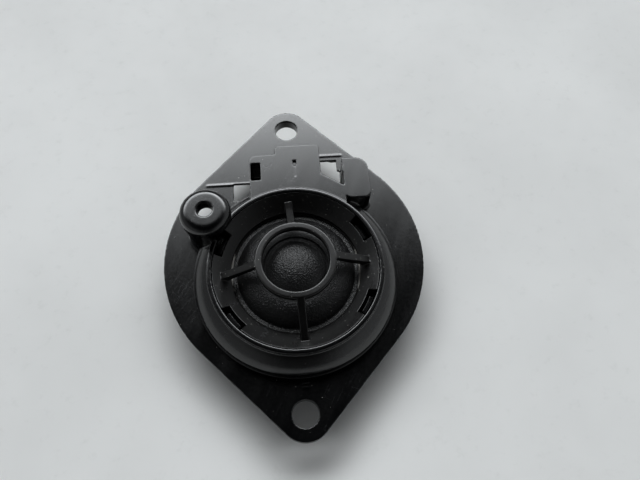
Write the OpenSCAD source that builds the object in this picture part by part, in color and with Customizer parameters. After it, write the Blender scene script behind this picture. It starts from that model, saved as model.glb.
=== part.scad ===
// Car tweeter: a small treble loudspeaker for a dashboard or door pillar.
// A flat lozenge flange with two screw holes carries a round bell, a hollow post
// and a plug socket. The back of the flange is z = 0 and the origin lies midway
// between the two screw holes. The sound goes up, +Z. The socket opens toward +Y.

/* [Flange] */
// Diameter of the round middle of the flange
flange_d = 67; // [62:0.5:72]
// Distance between the two screw holes
hole_span = 78.6; // [76:0.2:86]
// Diameter of the screw holes
hole_d = 6.4; // [4:0.1:7]
// Radius of the flange ends around the screw holes
lobe_r = 6.3; // [5.6:0.1:7]
// Depth of the flange edge
flange_t = 3; // [3:0.1:4]
// Thickness of the web inside the edge
web_t = 1.6; // [1.4:0.1:1.8]
// Thickness of the upright edge around the recess in the back
edge_t = 1.6; // [1.2:0.1:2.4]

/* [Bell] */
// How far the speaker axis lies from the middle of the flange, toward -Y
bell_shift = 5.7; // [5:0.1:6]
// Outer diameter of the bell where it meets the flange
bell_d = 50.8; // [50.4:0.1:51.2]
// Radius of the rounded shoulder of the bell
shoulder_r = 10; // [9.6:0.1:10.4]
// Height of the edge where the shoulder turns down into the upright wall
shoulder_z = 5.6; // [5.2:0.1:6]
// Slope of the shoulder at that edge
shoulder_slope = 62; // [58:1:64]
// Outer diameter of the raised rim
rim_d = 43.2; // [43:0.1:44]
// Height of the rim
rim_z = 11.1; // [11:0.1:11.4]
// Wall of the bell
wall = 1.6; // [1.4:0.1:1.8]

/* [Grille] */
// Diameter of the opening in the middle of the sloping grille
mouth_d = 32; // [31.4:0.1:32.6]
// Outer diameter of the round dome guard
guard_d = 19.5; // [19:0.1:20.5]
// Inner diameter of the round dome guard
guard_bore = 15.9; // [15.6:0.1:16.4]
// Height of the top of the dome guard
guard_z = 15; // [14.6:0.1:16]
// Width of each of the four spokes
spoke_w = 1.8; // [1.2:0.1:2.4]
// Turn of the spokes away from the flange axes
spoke_turn = 3; // [0:0.5:8]

/* [Post] */
// Diameter of the cap on the hollow post
cap_d = 12.4; // [11.8:0.1:13]
// Height of the post
post_z = 17.5; // [16.5:0.1:20]
// Diameter of the hole in the cap
cap_hole_d = 3.8; // [3:0.1:4.4]

/* [Speaker] */
// Diameter of the middle dome
dome_d = 14; // [13.9:0.05:14.1]
// Rise of the middle dome
dome_h = 2.7; // [2:0.1:3.2]
// Thickness of the coated cloth
cloth_t = 0.25; // [0.2:0.05:0.3]
// Outer diameter of the steel cup around the magnet
cup_d = 21.6; // [21:0.1:21.6]
// Depth of the steel cup
cup_h = 11.2; // [10.8:0.1:12]
// Thickness of the magnet
magnet_h = 6; // [5:0.1:6.4]

/* [Socket] */
// Height of the flat top of the plug socket
shelf_z = 10; // [9.6:0.1:10.4]
// Distance between the two contact pins
pin_pitch = 4; // [3.6:0.1:4.4]
// Diameter of the capacitor with its sleeve
cap_sleeve_d = 4.2; // [3.8:0.1:4.3]
// Length of the capacitor
capacitor_l = 7.2; // [6:0.1:7.4]

/* [Hidden] */
$fn = 96;
eps = 0.02;
flange_r = flange_d / 2;
hole_y = hole_span / 2;
web_z = flange_t - web_t;
recess_r = flange_r - edge_t;
bell_y = -bell_shift;
bell_r = bell_d / 2;
rim_r = rim_d / 2;
rim_w = 1.2;
bore_r = rim_r - rim_w;
shoulder_c = bell_r - shoulder_r * sin(shoulder_slope);
shoulder_cz = shoulder_z - shoulder_r * cos(shoulder_slope);
motor_hole_r = cup_d / 2 + 1.3;

// Colours of the materials
black = "#1d1f21";
satin = "#26292c";
cloth = "#343537";
steel = "#b9bcc0";
zinc = "#9a9da1";
copper = "#b56a35";
amber = "#a8742a";
felt = "#3b3b3a";
foam = "#8d8d88";
tin = "#c9cbce";
green = "#2d5a38";
brass = "#b59650";
blue = "#25466e";

// Grille section, radius and height
lip_z = 7.1;
lip_w = 1.8;
skirt_r = 19.05;
skirt_z = 6.2;
grille_r = bore_r - 0.1;
grille_z = rim_z - 0.3;
grille_t = 1.4;
mouth_r = mouth_d / 2;
mouth_top = 7.8;
slope_r = mouth_r + 0.5;
slope_z = mouth_top + 0.35;
guard_h = 1.7;
guard_round = 0.35;
spoke_top_r = guard_d / 2;
spoke_end_r = 18.1;
spoke_end_z = 9.6;
spoke_h = 1.5;

// Four snap windows, placed either side of the north and the south spoke
north_spread = 64.5;
south_spread = 55.5;
window_at = [90 + spoke_turn - north_spread, 90 + spoke_turn + north_spread,
             270 + spoke_turn - south_spread, 270 + spoke_turn + south_spread];
window_span = 19.5;
window_in = 18.4;
catch_z = 7.3;
hook_span = 14;
hook_in = 19.15;
hook_out = 20.15;
barb_in = 18.6;
barb_z = catch_z + 0.05;
hook_z = 8;
barb_lead = 0.3;

// Sound-making parts, all round the speaker axis
former_r = 7.6;
former_t = 0.12;
former_z = 2;
coil_t = 0.35;
coil_z = 2.2;
coil_h = 2.6;
valley_r = former_r - former_t / 2;
valley_z = 10.3;
valley_out = 0.65;
dome_r = dome_d / 2;
dome_ball = (dome_r * dome_r + dome_h * dome_h) / (2 * dome_h);
roll_in = valley_r + valley_out;
roll_out = 14.6;
cloth_z = 6.6;
ring_z = 5.4;
ring_h = cloth_z - cloth_t - ring_z;
ring_in = 14.6;
ring_out = 16.8;
cloth_out = 16.4;
gasket_in = 15.6;
gasket_out = 16.9;
// The roll is an arc through its two edges that stands roll_sag above the chord
roll_sag = 0.9;
roll_dx = roll_out - roll_in;
roll_dz = valley_z - cloth_z;
roll_chord = sqrt(roll_dx * roll_dx + roll_dz * roll_dz);
roll_r = (roll_chord * roll_chord / 4 + roll_sag * roll_sag) / (2 * roll_sag);
roll_back = (roll_r - roll_sag) / roll_chord;
roll_cx = (roll_in + roll_out) / 2 - roll_back * roll_dz;
roll_cz = (valley_z + cloth_z) / 2 - roll_back * roll_dx;

// Magnet system
cup_top = 4.6;
cup_r = cup_d / 2;
cup_bore = 8.35;
pole_r = 7.15;
pole_h = 2.2;
magnet_r = 6.9;
pad_r = 6.2;
pad_h = 1.4;
cup_floor = cup_top - pole_h - magnet_h;
cup_z = cup_top - cup_h;
cup_edge = 0.5;

// Chassis that joins the magnet system to the cloth ring
collar_r = motor_hole_r - 0.1;
collar_z = -1;
chassis_r = 16.9;
chassis_top = 4.4;
seat_in = 14.8;

// Post, measured from the flange axes
post_x = -21.05;
post_y = 7.6;
cap_r = cap_d / 2;
shaft_r = cap_r - 0.5;
cap_z = 13.3;
cap_round = 2;
cap_t = 3.2;
core_r = 4;
core_slot_w = 6;
core_slot_l = 11;
core_slot_z = 10.5;
core_slot_turn = 107;

// Plug socket, seen from above
shelf_w0 = -10.5;
shelf_w1 = 8.3;
shelf_y0 = 10;
shelf_y1 = 26.8;
shelf_round = 1.6;
tab_x0 = -3.75;
tab_y1 = 29.5;
tab_round = 1.2;
band_y = 20.2;
band_x = 14.2;
band_end_y = 16.3;
block_x0 = 14.1;
block_x1 = 20.9;
block_y0 = 12.5;
block_y1 = 24.7;
block_round = 1.7;
block_corner = 3.5;
socket_wall = 1.5;
socket_y0 = 22.2;
socket_top = 8.6;
pocket_wall = 0.4;
pocket_w = 2.5;
pocket_y0 = 19.2;
pocket_y1 = 24.3;
slot_x = 1.5;
slot_w = 0.8;
slot_y0 = 23.2;
slot_y1 = 24.8;
groove_w = 0.35;
groove_y = 19.6;
groove_d = 0.3;

// Two openings through the web beside the socket, and the thin lips round them
west_x0 = -15.4;
west_y0 = 17.3;
west_y1 = 22.4;
east_x1 = 14.9;
east_x2 = 13.3;
east_y0 = 15.6;
east_y1 = 24.9;
east_y2 = 28.3;
lip_t = 0.6;
lip_reach = 1.2;
bead_w = 0.4;
bead_h = 0.1;
bead_x = -22.6;
bead_y = 30;
// Pair of short ridges on the flange ahead of the screw hole away from the socket
mark_x = -0.1;
mark_y = -33.4;
mark_l = 1.4;
mark_gap = 0.8;

// Contacts, circuit board and wiring
socket_x = (tab_x0 + shelf_w1) / 2;
pin_w = 1.5;
pin_t = 0.6;
pin_z = 7.5;
pin_y0 = 21.1;
pin_y1 = 27.8;
pin_foot_z = 0.3;
fit_gap = 0.05;
board_x0 = -4.9;
board_x1 = 8;
board_y0 = 20.2;
board_y1 = 26.4;
board_z = 0.55;
board_t = 0.8;
stud_x = 6.8;
stud_x0 = -3.6;
stud_y = 24.6;
stud_r = 0.6;
stud_head_r = 1;
stud_head_h = 0.35;
solder_r = 0.95;
solder_h = 0.4;
wire_solder_r = 0.55;
eyelet_x = 3.2;
eyelet_r0 = 13.05;
eyelet_y = bell_y + eyelet_r0;
eyelet_out = 0.9;
eyelet_in = 0.5;
eyelet_rim = 1.3;
eyelet_lip = 0.25;
hatch_w = 10.4;
hatch_l = 4;
lead_r = 0.2;
lead_bend = 4;
wire_r = 0.6;
core_wire_r = 0.22;
wire_z = 0.75;
wire_end_y = board_y0 + 1.3;
wire_top_z = 2.5;

// Capacitor in its pocket inside the block
can_x = 17.5;
can_z = 4.8;
can_y0 = 15.85;
can_wall = 0.1;
can_r = cap_sleeve_d / 2 - can_wall;
bung_l = 1.1;
can_room = 0.05;
can_pocket_y0 = 14.9;
can_pocket_y1 = 23.4;
cap_lead_r = 0.25;
cap_lead_dx = 0.9;
cap_lead_z = 0.7;
cap_lead_y = [18.1, 19.1];
cap_lead_x = [5.6, 6.8];
cap_exit_y = 15.25;

// Ribs across the recess in the back, on the side away from the socket
rib_at = [-150, -120, -90, -60, -30];
rib_w = 1.2;

// Where the line that touches the middle circle and an end circle meets them
function touch_cos(d) = (flange_r - lobe_r) / d;
function touch(r, y, c, s) = [s * r * sqrt(1 - c * c), y + r * c];
// A point at a radius and angle round the speaker axis
function around(r, a) = [r * cos(a), bell_y + r * sin(a)];

// Rectangle from one corner to the other with rounded corners
module rounded_rect(x0, y0, x1, y1, r) {
    translate([x0 + r, y0]) square([x1 - x0 - 2 * r, y1 - y0]);
    translate([x0, y0 + r]) square([x1 - x0, y1 - y0 - 2 * r]);
    for (x = [x0 + r, x1 - r], y = [y0 + r, y1 - r]) translate([x, y]) circle(r = r);
}

// Box between two corners
module box(a, b) translate(a) cube(b - a);

// Straight round wire between two points, with a round end at each
module wire(a, b, r) {
    d = b - a;
    l = norm(d);
    translate(a) sphere(r = r, $fn = 24);
    translate(b) sphere(r = r, $fn = 24);
    translate(a) rotate([0, acos(d[2] / l), atan2(d[1], d[0])]) cylinder(r = r, h = l, $fn = 24);
}

// Everything drawn by the caller is moved onto the speaker axis
module on_axis() translate([0, bell_y, 0]) children();

module ring(r0, r1, z, h) on_axis() translate([0, 0, z]) difference() {
    cylinder(r = r1, h = h);
    translate([0, 0, -eps]) cylinder(r = r0, h = h + 2 * eps);
}

module flange_outline() {
    c = touch_cos(hole_y);
    circle(r = flange_r);
    for (m = [0, 1]) mirror([0, m]) {
        translate([0, hole_y]) circle(r = lobe_r);
        polygon([[0, 0], touch(flange_r, 0, c, 1), touch(lobe_r, hole_y, c, 1),
                 touch(lobe_r, hole_y, c, -1), touch(flange_r, 0, c, -1)]);
    }
}

// Half section of the bell, grown or shrunk by d, from height z up
module bell_section(d, z) intersection() {
    translate([shoulder_c, shoulder_cz]) circle(r = shoulder_r + d);
    translate([shoulder_c, z]) square([bell_r + d - shoulder_c, rim_z]);
}

module bell_solid() on_axis() {
    rotate_extrude() bell_section(0, web_z);
    translate([0, 0, web_z]) cylinder(r = rim_r, h = rim_z - web_z);
}

module bell_hollow() on_axis() {
    rotate_extrude() bell_section(-wall, flange_t);
    translate([0, 0, flange_t]) cylinder(r = bore_r, h = rim_z);
    translate([0, 0, -flange_t]) cylinder(r = motor_hole_r, h = 3 * flange_t);
}

module hook(a) on_axis() rotate([0, 0, a - hook_span / 2]) rotate_extrude(angle = hook_span)
    polygon([[hook_in, flange_t - eps], [hook_out, flange_t - eps], [hook_out, hook_z],
             [hook_in, hook_z], [barb_in, hook_z - barb_lead], [barb_in, barb_z], [hook_in, barb_z]]);

module socket_outline() {
    rounded_rect(shelf_w0, shelf_y0, shelf_w1, shelf_y1, shelf_round);
    translate([shelf_w1 - socket_wall - shelf_round, shelf_y0])
        square([socket_wall + shelf_round, shelf_y1 - shelf_y0]);
    rounded_rect(tab_x0, shelf_y0, shelf_w1, tab_y1, tab_round);
    polygon([[0, shelf_y0], [0, band_y], [shelf_w1, band_y], [band_x, band_end_y], [band_x, shelf_y0]]);
    rounded_rect(block_x0, block_y0, block_x1, block_y1 - block_corner + block_round, block_round);
    translate([block_x0, block_y1 - 2 * block_corner])
        square([block_x1 - block_x0 - block_corner, 2 * block_corner]);
    translate([block_x1 - block_corner, block_y1 - block_corner]) circle(r = block_corner);
}

module post() translate([post_x, post_y, 0]) {
    cylinder(r = shaft_r, h = cap_z + eps);
    rotate_extrude() {
        translate([0, cap_z]) square([cap_r, post_z - cap_round - cap_z]);
        translate([0, cap_z]) square([cap_r - cap_round, post_z - cap_z]);
        intersection() {
            translate([cap_r - cap_round, post_z - cap_round]) circle(r = cap_round);
            square([cap_r, post_z]);
        }
    }
}

module post_core() translate([post_x, post_y, 0]) {
    translate([0, 0, -flange_t]) cylinder(r = core_r, h = flange_t + post_z - cap_t);
    rotate([0, 0, core_slot_turn]) translate([0, -core_slot_w / 2, -flange_t])
        cube([core_slot_l, core_slot_w, flange_t + core_slot_z]);
}

// Openings through the web, each thinned from behind along its far side
module web_openings() {
    thin = flange_t - lip_t;
    box([west_x0, west_y0, -flange_t], [shelf_w0, west_y1, 2 * flange_t]);
    box([west_x0 - lip_reach, west_y0, -flange_t], [shelf_w0, west_y1 + lip_reach, thin]);
    box([shelf_w1, east_y0, -flange_t], [east_x1, east_y1, 2 * flange_t]);
    box([shelf_w1, east_y1 - eps, -flange_t], [east_x2, east_y2, 2 * flange_t]);
    box([shelf_w1, east_y1, -flange_t], [east_x1, east_y2 + lip_reach, thin]);
}

module socket_cuts() {
    box([tab_x0 + socket_wall, socket_y0, flange_t],
        [shelf_w1 - socket_wall, tab_y1 + socket_wall, socket_top]);
    box([shelf_w0 + pocket_wall, pocket_y0, flange_t],
        [shelf_w0 + pocket_wall + pocket_w, pocket_y1, 2 * shelf_z]);
    box([slot_x - slot_w / 2, slot_y0, socket_top - eps], [slot_x + slot_w / 2, slot_y1, 2 * shelf_z]);
    box([slot_x - groove_w / 2, groove_y, shelf_z - groove_d],
        [slot_x + groove_w / 2, slot_y0 + eps, 2 * shelf_z]);
    for (s = [-1, 1]) {
        x = socket_x + s * pin_pitch / 2;
        w = pin_w / 2 + fit_gap;
        box([x - w, pin_y0 - fit_gap, pin_z - fit_gap], [x + w, socket_y0 + eps, pin_z + pin_t + fit_gap]);
        box([x - w, pin_y0 - fit_gap, -flange_t], [x + w, pin_y0 + pin_t + fit_gap, pin_z + pin_t]);
    }
}

module capacitor_pocket() {
    h = cap_sleeve_d / 2 + can_room;
    box([can_x - h, can_pocket_y0, -flange_t], [can_x + h, can_pocket_y1, can_z + h]);
}

// A low moulded ridge on the flange from x0 to x1
module bead(x0, x1, y) box([x0, y - bead_w / 2, flange_t - eps], [x1, y + bead_w / 2, flange_t + bead_h]);

module housing() color(black) {
    difference() {
        union() {
            difference() {
                union() {
                    linear_extrude(flange_t) flange_outline();
                    post();
                    bead(bead_x, shelf_w0, west_y1);
                    bead(shelf_w1, east_x1, bead_y);
                    for (y = [mark_y, mark_y + mark_gap]) bead(mark_x, mark_x + mark_l, y);
                }
                web_openings();
                post_core();
            }
            translate([0, 0, web_z]) linear_extrude(shelf_z - web_z) socket_outline();
            bell_solid();
        }
        bell_hollow();
        socket_cuts();
        capacitor_pocket();
        difference() {
            translate([0, 0, -flange_t]) cylinder(r = recess_r, h = flange_t + web_z);
            for (a = rib_at) on_axis() rotate([0, 0, a])
                translate([motor_hole_r, -rib_w / 2, -2 * flange_t]) cube([flange_r, rib_w, 4 * flange_t]);
        }
        for (s = [-1, 1]) translate([0, s * hole_y, -eps]) cylinder(d = hole_d, h = flange_t + 2 * eps);
        translate([post_x, post_y, 0]) cylinder(d = cap_hole_d, h = 2 * post_z);
        translate([-hatch_w / 2, eyelet_y - hatch_l / 2, -flange_t])
            cube([hatch_w, hatch_l, 2 * flange_t + eps]);
    }
    for (a = window_at) hook(a);
    for (x = [stud_x0, stud_x]) translate([x, stud_y, 0]) {
        translate([0, 0, board_z - eps]) cylinder(r = stud_r, h = web_z - board_z + 2 * eps, $fn = 32);
        translate([0, 0, board_z - stud_head_h]) cylinder(r = stud_head_r, h = stud_head_h, $fn = 32);
    }
}

module grille_section() polygon([[mouth_r, lip_z], [mouth_r + lip_w, lip_z], [mouth_r + lip_w, skirt_z],
    [skirt_r, skirt_z], [skirt_r, grille_z - grille_t - 1], [grille_r, grille_z - grille_t],
    [grille_r, grille_z], [slope_r, slope_z], [mouth_r, mouth_top]]);

module guard_section() rounded_rect(guard_bore / 2, guard_z - guard_h, guard_d / 2, guard_z, guard_round);

// Side view of one spoke, from the guard down to the slope
module spoke_section() polygon([[spoke_top_r - 1, guard_z - 0.1], [spoke_top_r, guard_z - 0.1],
    [spoke_end_r, spoke_end_z], [spoke_end_r, spoke_end_z - spoke_h],
    [spoke_end_r - 1, spoke_end_z - spoke_h - 0.3],
    [spoke_top_r - 0.4, guard_z - guard_h + 0.1], [spoke_top_r - 1, guard_z - guard_h + 0.1]]);

module grille() color(satin) on_axis() difference() {
    union() {
        rotate_extrude() grille_section();
        rotate_extrude() guard_section();
        for (k = [0:3]) rotate([90, 0, k * 90 + spoke_turn]) translate([0, 0, -spoke_w / 2])
            linear_extrude(spoke_w) spoke_section();
    }
    for (a = window_at) rotate([0, 0, a - window_span / 2]) rotate_extrude(angle = window_span)
        translate([window_in, catch_z]) square([grille_r, rim_z]);
}

module front_gasket() color(foam) ring(gasket_in, gasket_out, cloth_z, lip_z - cloth_z);

module surround() color(cloth) on_axis() rotate_extrude() {
    intersection() {
        translate([roll_cx, roll_cz]) difference() {
            circle(r = roll_r);
            circle(r = roll_r - cloth_t);
        }
        translate([roll_in, cloth_z - cloth_t]) square([roll_out - roll_in, 2 * rim_z]);
    }
    translate([roll_out - cloth_t, cloth_z - cloth_t]) square([cloth_out - roll_out + cloth_t, cloth_t]);
}

module dome() color(cloth) on_axis() {
    translate([0, 0, valley_z + dome_h - dome_ball]) intersection() {
        difference() {
            sphere(r = dome_ball);
            sphere(r = dome_ball - cloth_t);
        }
        translate([0, 0, dome_ball - dome_h]) cylinder(r = valley_r - valley_out + cloth_t, h = 2 * dome_h);
    }
    rotate_extrude() translate([valley_r, valley_z]) intersection() {
        difference() {
            circle(r = valley_out);
            circle(r = valley_out - cloth_t);
        }
        translate([-valley_out, -valley_out]) square([2 * valley_out, valley_out]);
    }
}

module coil_former() color(amber)
    ring(former_r - former_t, former_r, former_z, valley_z - valley_out - former_z);

module coil_winding() color(copper) ring(former_r, former_r + coil_t, coil_z, coil_h);

module cloth_ring() color(foam) ring(ring_in, ring_out, ring_z, ring_h);

module chassis() color(black) difference() {
    on_axis() rotate_extrude() polygon([[cup_r, collar_z], [collar_r, collar_z], [collar_r, flange_t],
        [chassis_r, flange_t], [chassis_r, ring_z], [seat_in, ring_z], [seat_in, chassis_top],
        [collar_r, chassis_top], [collar_r - 0.4, cup_top], [cup_r, cup_top]]);
    for (s = [-1, 1]) translate([s * eyelet_x, eyelet_y, flange_t - eps])
        cylinder(r = eyelet_out + fit_gap, h = flange_t, $fn = 32);
}

module damping_pad() color(felt) on_axis() translate([0, 0, cup_top]) cylinder(r = pad_r, h = pad_h);

module pole_piece() color(zinc) on_axis()
    translate([0, 0, cup_top - pole_h]) cylinder(r = pole_r, h = pole_h);

module magnet() color(steel) on_axis() translate([0, 0, cup_floor]) cylinder(r = magnet_r, h = magnet_h);

module yoke_cup() color(zinc) on_axis() difference() {
    rotate_extrude() polygon([[0, cup_z], [cup_r - cup_edge, cup_z], [cup_r, cup_z + cup_edge],
        [cup_r, cup_top], [0, cup_top]]);
    translate([0, 0, cup_floor]) cylinder(r = cup_bore, h = cup_h);
}

// Fine flexible lead: up from an eyelet in a quarter turn, then level to the coil
module coil_lead(s) color(copper) on_axis() rotate([0, 0, atan2(eyelet_r0, s * eyelet_x)]) {
    r0 = norm([eyelet_x, eyelet_r0]) - lead_bend;
    z0 = chassis_top + eyelet_lip;
    translate([r0, 0, z0]) rotate([90, 0, 0]) rotate_extrude(angle = 90)
        translate([lead_bend, 0]) circle(r = lead_r, $fn = 24);
    translate([former_r, 0, z0 + lead_bend]) rotate([0, 90, 0])
        cylinder(r = lead_r, h = r0 - former_r, $fn = 24);
}

module coil_lead_left() coil_lead(-1);
module coil_lead_right() coil_lead(1);

module eyelet(s) color(brass) translate([s * eyelet_x, eyelet_y, 0]) difference() {
    union() {
        translate([0, 0, flange_t]) cylinder(r = eyelet_out, h = chassis_top - flange_t, $fn = 32);
        translate([0, 0, chassis_top]) cylinder(r = eyelet_rim, h = eyelet_lip, $fn = 32);
        translate([0, 0, flange_t - eyelet_lip]) cylinder(r = eyelet_rim, h = eyelet_lip, $fn = 32);
    }
    translate([0, 0, flange_t - 1]) cylinder(r = eyelet_in, h = flange_t, $fn = 32);
}

module eyelet_left() eyelet(-1);
module eyelet_right() eyelet(1);

// Insulated wire from an eyelet, along the recess, to the circuit board
module lead_wire(x, end_x) {
    z = board_z - core_wire_r - eps;
    wire([x, eyelet_y, wire_top_z - wire_r], [x, eyelet_y, wire_z], wire_r);
    wire([x, eyelet_y, wire_z], [end_x, board_y0 - wire_r - eps, wire_z], wire_r);
    wire([end_x, board_y0 - wire_r - 1, z], [end_x, wire_end_y, z], core_wire_r);
}

module lead_wire_left() color("#8c1f1c") lead_wire(-eyelet_x, -eyelet_x);
module lead_wire_right() color("#2b2b2e") lead_wire(eyelet_x, socket_x);

module circuit_board() color(green) difference() {
    box([board_x0, board_y0, board_z], [board_x1, board_y1, board_z + board_t]);
    for (x = [stud_x0, stud_x]) translate([x, stud_y, 0])
        cylinder(r = stud_r + fit_gap, h = flange_t, $fn = 32);
    for (s = [-1, 1]) translate([socket_x + s * pin_pitch / 2 - pin_w / 2 - fit_gap, pin_y0 - fit_gap, 0])
        cube([pin_w + 2 * fit_gap, pin_t + 2 * fit_gap, flange_t]);
}

module pin(s) color(tin) {
    x = socket_x + s * pin_pitch / 2 - pin_w / 2;
    box([x, pin_y0, pin_z], [x + pin_w, pin_y1, pin_z + pin_t]);
    box([x, pin_y0, pin_foot_z], [x + pin_w, pin_y0 + pin_t, pin_z + eps]);
}

module pin_left() pin(-1);
module pin_right() pin(1);

// Solder on the underside of the board: two pin feet, two wire ends, two capacitor leads
module solder_joints() color(tin) difference() {
    union() {
        for (s = [-1, 1]) translate([socket_x + s * pin_pitch / 2, pin_y0 + pin_t / 2, board_z - solder_h])
            cylinder(r1 = solder_r / 2, r2 = solder_r, h = solder_h, $fn = 32);
        for (x = [-eyelet_x, socket_x, cap_lead_x[0], cap_lead_x[1]])
            translate([x, wire_end_y, board_z - solder_h])
            cylinder(r1 = wire_solder_r / 2, r2 = wire_solder_r, h = solder_h, $fn = 32);
    }
    for (s = [-1, 1]) translate([socket_x + s * pin_pitch / 2 - pin_w / 2, pin_y0, 0])
        cube([pin_w, pin_t, flange_t]);
    lead_wire(-eyelet_x, -eyelet_x);
    lead_wire(eyelet_x, socket_x);
    capacitor_leads();
}

module along_can(y) translate([can_x, y, can_z]) rotate([-90, 0, 0]) children();

module capacitor_can() color(steel) along_can(can_y0 + bung_l)
    cylinder(r = can_r, h = capacitor_l - bung_l - can_wall);

module capacitor_sleeve() color(blue) along_can(can_y0) difference() {
    cylinder(r = can_r + can_wall, h = capacitor_l);
    translate([0, 0, -eps]) cylinder(r = can_r, h = capacitor_l + eps - can_wall);
}

module capacitor_bung() color(felt) difference() {
    along_can(can_y0) cylinder(r = can_r, h = bung_l);
    for (s = [-1, 1]) along_can(can_y0 - bung_l) translate([s * cap_lead_dx, 0, 0])
        cylinder(r = cap_lead_r + fit_gap, h = 3 * bung_l, $fn = 24);
}

// Both leads turn down out of the pocket, run along the recess and end under the board
module capacitor_leads() color(tin) {
    z = board_z - cap_lead_r - eps;
    for (k = [0, 1]) {
        x = can_x + (2 * k - 1) * cap_lead_dx;
        y = cap_exit_y + k * cap_lead_r;
        wire([x, can_y0 + bung_l - cap_lead_r, can_z], [x, y, can_z], cap_lead_r);
        wire([x, y, can_z], [x, y, cap_lead_z], cap_lead_r);
        wire([x, y, cap_lead_z], [x, cap_lead_y[k], cap_lead_z], cap_lead_r);
        wire([x, cap_lead_y[k], cap_lead_z], [cap_lead_x[k], cap_lead_y[k], z], cap_lead_r);
        wire([cap_lead_x[k], cap_lead_y[k], z], [cap_lead_x[k], wire_end_y, z], cap_lead_r);
    }
}

housing();
grille();
front_gasket();
surround();
dome();
coil_former();
coil_winding();
cloth_ring();
chassis();
damping_pad();
pole_piece();
magnet();
yoke_cup();
coil_lead_left();
coil_lead_right();
eyelet_left();
eyelet_right();
lead_wire_left();
lead_wire_right();
circuit_board();
pin_left();
pin_right();
solder_joints();
capacitor_can();
capacitor_sleeve();
capacitor_bung();
capacitor_leads();
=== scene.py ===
import math

import bmesh
import bpy
from mathutils import Matrix, Vector, noise


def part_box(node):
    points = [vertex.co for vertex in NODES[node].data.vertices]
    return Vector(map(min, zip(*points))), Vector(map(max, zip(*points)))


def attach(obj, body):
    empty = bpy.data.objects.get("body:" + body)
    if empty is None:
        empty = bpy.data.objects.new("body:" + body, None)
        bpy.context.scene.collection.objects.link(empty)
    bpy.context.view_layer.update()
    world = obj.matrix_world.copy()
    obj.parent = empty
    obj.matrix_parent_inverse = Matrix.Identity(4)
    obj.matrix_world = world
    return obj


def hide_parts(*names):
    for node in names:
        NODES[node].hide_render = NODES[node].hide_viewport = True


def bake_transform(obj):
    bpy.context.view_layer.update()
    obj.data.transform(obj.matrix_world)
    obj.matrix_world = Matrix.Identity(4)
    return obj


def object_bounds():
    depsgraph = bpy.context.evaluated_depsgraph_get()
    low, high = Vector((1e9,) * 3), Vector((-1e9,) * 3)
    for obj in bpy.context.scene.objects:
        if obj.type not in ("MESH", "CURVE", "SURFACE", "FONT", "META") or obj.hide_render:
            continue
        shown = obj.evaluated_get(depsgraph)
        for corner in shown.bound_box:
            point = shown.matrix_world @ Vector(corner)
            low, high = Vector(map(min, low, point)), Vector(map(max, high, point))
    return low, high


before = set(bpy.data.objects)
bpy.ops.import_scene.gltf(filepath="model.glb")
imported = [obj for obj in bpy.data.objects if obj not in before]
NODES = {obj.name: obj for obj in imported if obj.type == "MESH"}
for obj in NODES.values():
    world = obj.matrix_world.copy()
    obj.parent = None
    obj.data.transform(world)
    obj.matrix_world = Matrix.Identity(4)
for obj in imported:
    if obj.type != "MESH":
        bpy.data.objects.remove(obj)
CAD_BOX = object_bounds()
scene = bpy.context.scene

# ---------------------------------------------------------------- sizes, in millimetres
MM = 0.001


def box_mm(node):
    """Both corners of a node's box, in millimetres."""
    low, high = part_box(node)
    return Vector(low) / MM, Vector(high) / MM


def centre_mm(node):
    """The middle of a node's box, in millimetres."""
    low, high = box_mm(node)
    return (low + high) / 2


AXIS_Y = centre_mm("yoke_cup").y          # the speaker axis stands on x = 0 at this y
FLOOR_Z = CAD_BOX[0][2]                   # the object rests on its magnet cup

# Cloth of the surround, as a roll between the valley and the cloth ring
CLOTH_T = 0.25
ROLL_IN, ROLL_OUT, ROLL_SAG = 8.19, 14.6, 0.9
VALLEY_R, VALLEY_W, VALLEY_Z = 7.54, 0.65, 10.3
SEAT_Z = box_mm("surround")[0].z + CLOTH_T
CLOTH_OUT = 16.4
DOME_EDGE, DOME_TOP = 7.0, box_mm("dome")[1].z


# ---------------------------------------------------------------- mesh helpers
def make_object(name, bm, smooth=True):
    """A mesh object in metres from a bmesh in millimetres."""
    bmesh.ops.recalc_face_normals(bm, faces=bm.faces[:])
    mesh = bpy.data.meshes.new(name)
    bm.transform(Matrix.Scale(MM, 4))
    bm.to_mesh(mesh)
    bm.free()
    for poly in mesh.polygons:
        poly.use_smooth = smooth
    obj = bpy.data.objects.new(name, mesh)
    scene.collection.objects.link(obj)
    return obj


def add_lathe(bm, profile, centre=(0, 0), segments=96, closed=True):
    """Turns a half section, a list of (radius, z), about a vertical axis."""
    rings = []
    for r, z in profile:
        if r < 1e-6:
            rings.append([bm.verts.new((centre[0], centre[1], z))])
            continue
        ring = []
        for k in range(segments):
            a = 2 * math.pi * k / segments
            ring.append(bm.verts.new((centre[0] + r * math.cos(a), centre[1] + r * math.sin(a), z)))
        rings.append(ring)
    pairs = list(zip(rings, rings[1:] + (rings[:1] if closed else [])))
    for a, b in pairs:
        if len(a) == 1 and len(b) == 1:
            continue
        for k in range(segments):
            n = (k + 1) % segments
            if len(a) == 1:
                bm.faces.new((a[0], b[n], b[k]))
            elif len(b) == 1:
                bm.faces.new((a[k], a[n], b[0]))
            else:
                bm.faces.new((a[k], a[n], b[n], b[k]))


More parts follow.
